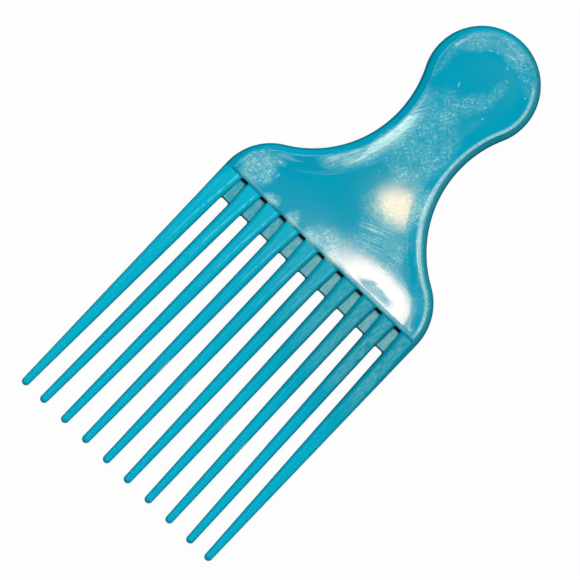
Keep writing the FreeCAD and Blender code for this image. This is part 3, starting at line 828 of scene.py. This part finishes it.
class PlatePlastic(Finish):
    """Glossy teal plastic with worn, hazy places, scratches, painted highlights and painted
    shade in the notches.
    """

    def __init__(self):
        super().__init__("teal_plate")
        self.inside = self.node("ShaderNodeAttribute", {"attribute_name": EDGE_LAYER}, {}, "Fac")
        self.ragged = self.wavering(self.place, *RAGGED)
        self.on_face = self.z.beyond(*FACE_LEVEL)
        self.on_back = self.z.beyond(*BACK_LEVEL)
        self.to_right = self.x.beyond(*RIGHT_SIDE)
        self.to_left = 1 - self.to_right
        self.patchy = self.noise(self.place, *PATCHES).above(*PATCHY)
        self.curls = self.noise(self.place, *CURLS)
        self.smears = self.spots(self.ragged, SMEARS)
        not_clean = (1 - self.spots(self.ragged, CLEAN)).above(0.0, 1.0)
        self.wear_and_reflection = self.spots(self.ragged, WEAR_AND_REFLECTION) * not_clean + self.smears
        self.wiped = self.wiping()
        self.streaks = self.wiped.above(*STREAKY)
        self.scratched_and_highlit = self.scratches_and_highlights()
        self.painted_shade = self.painted_shade_in_corners()

    def circles(self):
        """Noise drawn out in circles about one spot."""
        seen = self.seen_from(self.wavering(self.place, *RAGGED_CIRCLES), *SCRATCH_GLINT_MIDDLE, 0, 1.0, 1.0)
        around = seen.part(1).maths("ARCTAN2", seen.part(0))
        bent = self.node("ShaderNodeCombineXYZ", {}, {"X": self.length(seen) * CELLS_OUTWARDS,
                                                      "Y": around * CELLS_AROUND})
        return self.noise(bent, *CIRCLES)

    def wiping(self):
        """Fine lines in three directions, and in circles about the crescent highlight, as
        painted glints.
        """
        straight = 0.0
        for *line, share in WIPING:
            straight = self.lines(self.ragged, *line) * share + straight
        in_circles = self.spots(self.ragged, IN_CIRCLES)
        return straight * (1 - in_circles) + self.circles() * in_circles

    def flecks(self):
        """Short scratches in two directions."""
        return (self.lines(self.ragged, *RISING_FLECKS).above(*RISING)
                + self.lines(self.ragged, *FALLING_FLECKS).above(*FALLING))

    def scratches_and_highlights(self):
        """How far a place is scratched, smeared or rubbed until it is nearly white; painted
        highlights and reflections along the rims and the step are added to it.
        """
        # Painted reflection along the left rim and painted highlight along the right rim.
        left_rim_reflection = (self.inside.within(*LEFT_RIM_REFLECTION_BAND) * self.to_left
                       * self.spots(self.place, LEFT_RIM_REFLECTION))
        right_rim_highlight = (self.inside.within(*RIGHT_RIM_HIGHLIGHT_BAND) * self.to_right
                      * self.spots(self.place, RIGHT_RIM_HIGHLIGHT))
        # A painted highlight along the step's edge.
        step_highlight = (self.y.beyond(*STEP_EDGE) * self.z.beyond(*STEP_LEVEL)
                     * self.spots(self.ragged, STEP_HIGHLIGHT))
        strokes = self.lines(self.place, *STROKES).above(*STROKED)
        along_left = self.lines(self.place, *ALONG_LEFT_RIM).above(*LEFT_RIM_REFLECTION_LINES)
        marks = self.spots(self.wavering(self.place, *RAGGED_MARKS), MARKS)
        flecked = self.wear_and_reflection * 0.75 + left_rim_reflection * 0.5 + 0.03
        smeared = (strokes * 0.35 + self.curls.above(*SMEAR_CURLS) * 0.65
                   + self.y.beyond(*NEAR_STEP) * 0.25)
        total = (self.flecks() * flecked * (self.patchy * 0.9 + 0.35)
                 + marks * 0.8
                 + self.wiped.above(*BRIGHT_STREAKS) * self.wear_and_reflection * 1.3
                 + self.smears * smeared
                 + self.wear_and_reflection * self.curls.above(*WEAR_AND_REFLECTION_CURLS) * 0.22
                 + left_rim_reflection * (along_left * 0.7 + 0.15)
                 + step_highlight * (self.patchy * 0.5 + 0.3)
                 + right_rim_highlight * (self.curls.above(*RIGHT_RIM_HIGHLIGHT_CURLS) * 0.45 + 0.45))
        return total.at_most(1.0) * self.on_face

    def painted_shade_in_corners(self):
        """A painted shadow on the plate's end below the step, between the outer teeth, in the
        notches.
        """
        return (self.y.beyond(*UNDER_STEP) * (self.z - THICKNESS / 2).size().beyond(*NOTCH_SHADE_LEVEL)
                * self.x.size().beyond(*NOTCH_SHADE_WIDTH))

    def colour(self):
        """Teal, darker as painted shade on the right slope and the wall; then haze and
        scratches, which carry painted reflections and highlights, and painted shade in the
        notches over it.
        """
        # Worn haze, in part a painted reflection of the room's light on the face.
        haze_and_reflection = (self.wear_and_reflection * (self.patchy * 0.6 + 0.2) * (self.streaks * 0.75 + 0.25)
                * self.on_face + self.on_back * self.patchy * self.streaks * 0.35)
        # Painted shade: the right-hand slope of the rim and the outer wall face away from the
        # light.
        right_slope = self.to_right * self.inside.beyond(*RIGHT_SLOPE)
        colour = self.mix(right_slope * 0.45, TEAL, SHADED_TEAL)
        colour = self.mix(self.inside.beyond(*WALL) * 0.85, colour, PAINTED_SHADE_TEAL)
        colour = self.mix(haze_and_reflection, colour, HAZE_AND_REFLECTION_TEAL)
        # Scratches, with the painted highlights and reflections along the rims and the step.
        colour = self.mix(self.scratched_and_highlit, colour, SCRATCH_AND_HIGHLIGHT_WHITE)
        # Painted shadow in the notches above the webs.
        return self.mix(self.painted_shade * 0.95, colour, PAINTED_SHADOW_DARK)

    def gloss(self):
        """The clear gloss, less in the notches' painted shade, where there is grease and at the
        foot of the ramps.
        """
        smudged = self.spots(self.ragged, SMUDGES) * (self.streaks * -0.4 + 1.1)
        foot = (self.to_left * self.inside.within(*LEFT_FOOT_BAND)
                + self.to_right * self.inside.within(*RIGHT_FOOT_BAND))
        clear = (self.on_face * (1 - self.painted_shade) * (1 - smudged.at_most(MOST_SMUDGED))
                 * (1 - foot * 0.85))
        return (clear + self.on_back) * GLOSS + self.inside.beyond(*WALL_GLOSS_END) * WALL_GLOSS

    def relief(self):
        """Broad unevenness with fine lines on it, which stand out where the face is worn."""
        least, more, depth = PLATE_RELIEF
        height = self.noise(self.place, *UNEVENNESS) * UNEVEN_HEIGHT + self.wiped * WIPED_HEIGHT
        return self.bump(height, (self.wear_and_reflection * more + least).at_most(1.0), depth)

    def roughness(self):
        """Duller where it is worn or scratched, along the painted highlights, and in the
        notches.
        """
        return self.wear_and_reflection * 0.08 + self.scratched_and_highlit * 0.1 + self.painted_shade * 0.2 + ROUGHNESS


def plate_plastic():
    """The handle's material."""
    finish = PlatePlastic()
    finish.set(Base_Color=finish.colour(), Roughness=finish.roughness(), Normal=finish.relief(),
               Coat_Weight=finish.gloss(), Coat_Roughness=GLOSS_ROUGHNESS,
               Coat_IOR=GLOSS_INDEX, Specular_IOR_Level=0.0)
    return finish.material


def tooth_plastic():
    """The same plastic, with painted shade on the right-hand teeth and each tooth's sides, a
    painted reflection at the crown, painted highlights along the middle and low on four teeth,
    and scratches.
    """
    finish = Finish("teal_teeth")
    down = finish.y * -1
    across = finish.x * (1 - down * TEETH_SPREAD)
    to_right = finish.x.beyond(*TEETH_RIGHT)
    height = finish.z - THICKNESS / 2
    risen = height.size() / (down * -TOOTH_TAPER + TOOTH_HALF)
    on_top = risen.above(*TOOTH_TOP)
    ridge_place = down.beyond(*RIDGE_LEAN_DOWN) * RIDGE_LEAN + RIDGE_SHIFT
    broken = finish.noise(finish.place, *BREAKS).above(*BROKEN)
    ridge = ((across - ridge_place).off_tooth().beyond(*RIDGE) * broken
             * down.beyond(*RIDGE_DOWN) * (1 - to_right))
    lengthways = finish.lines(finish.place, *DOWN_TEETH)
    crown = (across.off_tooth().beyond(*CROWN) * lengthways.above(*CROWN_LINES)
             * (down - to_right * CROWN_SPREAD).beyond(*CROWN_DOWN) * (to_right * 0.9 + 0.1))
    flecks = (finish.lines(finish.place, *TOOTH_FLECKS).above(*TOOTH_FLECKED)
              * down.beyond(*TOOTH_FLECKS_DOWN))
    glints = finish.spots(finish.place, GLINTS) * height.beyond(*GLINT_LEVEL)
    # Painted shade: the right-hand teeth darken down their length as the light falls off.
    colour = finish.mix(to_right * down.beyond(*TOOTH_SHADE_DOWN), LIT_TOOTH_TEAL, SHADED_TOOTH_TEAL)
    # Painted shade on the sides of each tooth, which turn away from the light.
    colour = finish.mix(risen.above(*TOOTH_SIDE) * 0.9, colour, PAINTED_SHADE_TEAL)
    # A painted reflection on the flat crown near the root, stronger on the right-hand teeth.
    colour = finish.mix(crown * 0.75 * on_top, colour, HAZE_AND_REFLECTION_TEAL)
    # A painted highlight along the ridge of each tooth, with scratches.
    colour = finish.mix((ridge * 0.9 + flecks * 0.4) * on_top, colour, GLEAM)
    # Painted highlights low on the right side of four teeth.
    colour = finish.mix(glints, colour, SCRATCH_AND_HIGHLIGHT_WHITE)
    finish.set(Base_Color=colour, Roughness=ROUGHNESS,
               Normal=finish.bump(lengthways, *TOOTH_RELIEF), Coat_Weight=TOOTH_GLOSS,
               Coat_Roughness=TOOTH_GLOSS_ROUGHNESS, Coat_IOR=GLOSS_INDEX,
               Specular_IOR_Level=0.0)
    return finish.material


def frosted_plastic():
    """The webs: the same plastic with a frosted skin, paler towards the right, with a painted
    highlight along the lip and painted shade at the lower edge, the sides and the root.
    """
    finish = Finish("teal_frosted")
    cloudy = finish.lines(finish.place, *WEB_CLOUDS).above(*CLOUDY)
    specks = finish.noise(finish.place, *SPECKS).above(*SPECKLED)
    half_width = (finish.y - ROOT_LINE) * WEB_FLARE + WEB_HALF
    # Painted shade towards the sides of each web and at its root, next to the teeth and the
    # step.
    sides = (finish.x.off_web() - half_width).beyond(*WEB_SIDES)
    painted_shade = (sides * 0.35 + finish.y.beyond(*WEB_ROOT)).at_most(1.0)
    # A painted highlight along the web's rounded lip.
    gleam = finish.y.within(*WEB_GLEAM_BAND) * cloudy
    pale = cloudy * 0.55 + specks * 0.2 + finish.x.beyond(*WEBS_RIGHT) * 0.45 - 0.33
    colour = finish.mix(pale, FROST_TEAL, FROST_GREY)
    colour = finish.mix(gleam * 0.5, colour, SCRATCH_AND_HIGHLIGHT_WHITE)
    # Painted shade on the web's lower edge, which faces away from the light.
    colour = finish.mix(finish.y.beyond(*WEB_LIP) * 0.85, colour, PAINTED_SHADE_TEAL)
    colour = finish.mix(sides * 0.7, colour, PAINTED_SHADE_TEAL)
    colour = finish.mix(painted_shade, colour, PAINTED_SHADOW_DARK)
    finish.set(Base_Color=colour, Roughness=specks * 0.15 + 0.45,
               Normal=finish.bump(specks, *WEB_RELIEF), Specular_IOR_Level=FROST_SHEEN)
    return finish.material


def make_camera():
    up = Vector((-math.sin(VIEW_ROLL), math.cos(VIEW_ROLL), 0.0))
    right = up.cross(VIEW_BACK).normalized()
    turn = Matrix((right, VIEW_BACK.cross(right), VIEW_BACK)).transposed()
    data = bpy.data.cameras.new("view")
    data.sensor_width = SENSOR_MM
    data.lens = VIEW_DISTANCE / (METRES_PER_PIXEL * FRAME_PIXELS) * SENSOR_MM
    data.clip_end = VIEW_END
    camera = bpy.data.objects.new("view", data)
    bpy.context.scene.collection.objects.link(camera)
    camera.matrix_world = Matrix.Translation(AIM + VIEW_BACK * VIEW_DISTANCE) @ turn.to_4x4()
    bpy.context.scene.camera = camera


def make_floor():
    """A plain pale floor, just below the pick, that glows white for the camera only."""
    bpy.ops.object.select_all(action="DESELECT")
    bpy.ops.mesh.primitive_plane_add(size=FLOOR_SIZE, location=(0, 0, FLOOR_HEIGHT))
    floor = bpy.context.object
    floor.name = "floor"
    finish = Finish("white_table")
    finish.set(Base_Color=TABLE_WHITE, Roughness=FLOOR_ROUGHNESS,
               Specular_IOR_Level=FLOOR_SHEEN)
    seen = finish.node("ShaderNodeLightPath", {}, {}, "Is Camera Ray")
    glow = finish.node("ShaderNodeEmission", {}, {"Color": WHITE, "Strength": 1.0})
    plain = Value(finish, finish.shader.outputs[0])
    both = finish.node("ShaderNodeMixShader", {}, {0: seen * FLOOR_GLOW, 1: plain, 2: glow})
    finish.feed(finish.tree.nodes["Material Output"].inputs["Surface"], both)
    finish.material.cycles.emission_sampling = "NONE"
    floor.data.materials.append(finish.material)


def softbox(name, place, target, width, length, radiance, color=(1, 1, 1), shape="RECTANGLE",
            turn=0.0):
    """A lamp with an evenly bright face."""
    data = bpy.data.lights.new(name, "AREA")
    data.shape = shape
    data.size = width
    data.size_y = length
    area = width * length * (math.pi / 4 if shape == "ELLIPSE" else 1)
    data.energy = radiance * math.pi * area
    data.color = color
    lamp = bpy.data.objects.new(name, data)
    bpy.context.scene.collection.objects.link(lamp)
    facing = (Vector(place) - Vector(target)).to_track_quat("Z", "Y").to_matrix()
    lamp.matrix_world = (Matrix.Translation(place)
                         @ (facing @ Matrix.Rotation(math.radians(turn), 3, "Z")).to_4x4())


def make_light():
    world = bpy.data.worlds.new("room")
    bpy.context.scene.world = world
    world.use_nodes = True
    background = world.node_tree.nodes["Background"].inputs
    background["Color"].default_value = WHITE
    background["Strength"].default_value = ROOM_LIGHT
    for name, place, width, length, radiance in SIDE_LAMPS:
        softbox(name, place, (0, 0, 0), width, length, radiance)
    for name, x, y, width, length, radiance, color, shape, turn, height in OVERHEAD_LAMPS:
        place = Vector((x * MM, y * MM, 0.0)) + MIRRORED * height
        softbox(name, place, place - Vector((0, 0, 1)), width * MM, length * MM, radiance,
                color, shape, turn)


make_camera()
make_floor()
make_light()
make_handle().data.materials.append(plate_plastic())
frosted = frosted_plastic()
for name in WEBS:
    make_web(name).data.materials.append(frosted)
tooth_finish = tooth_plastic()
for name in TEETH:
    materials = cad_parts[name].data.materials
    materials.clear()
    materials.append(tooth_finish)

bpy.context.scene.view_settings.view_transform = "Standard"
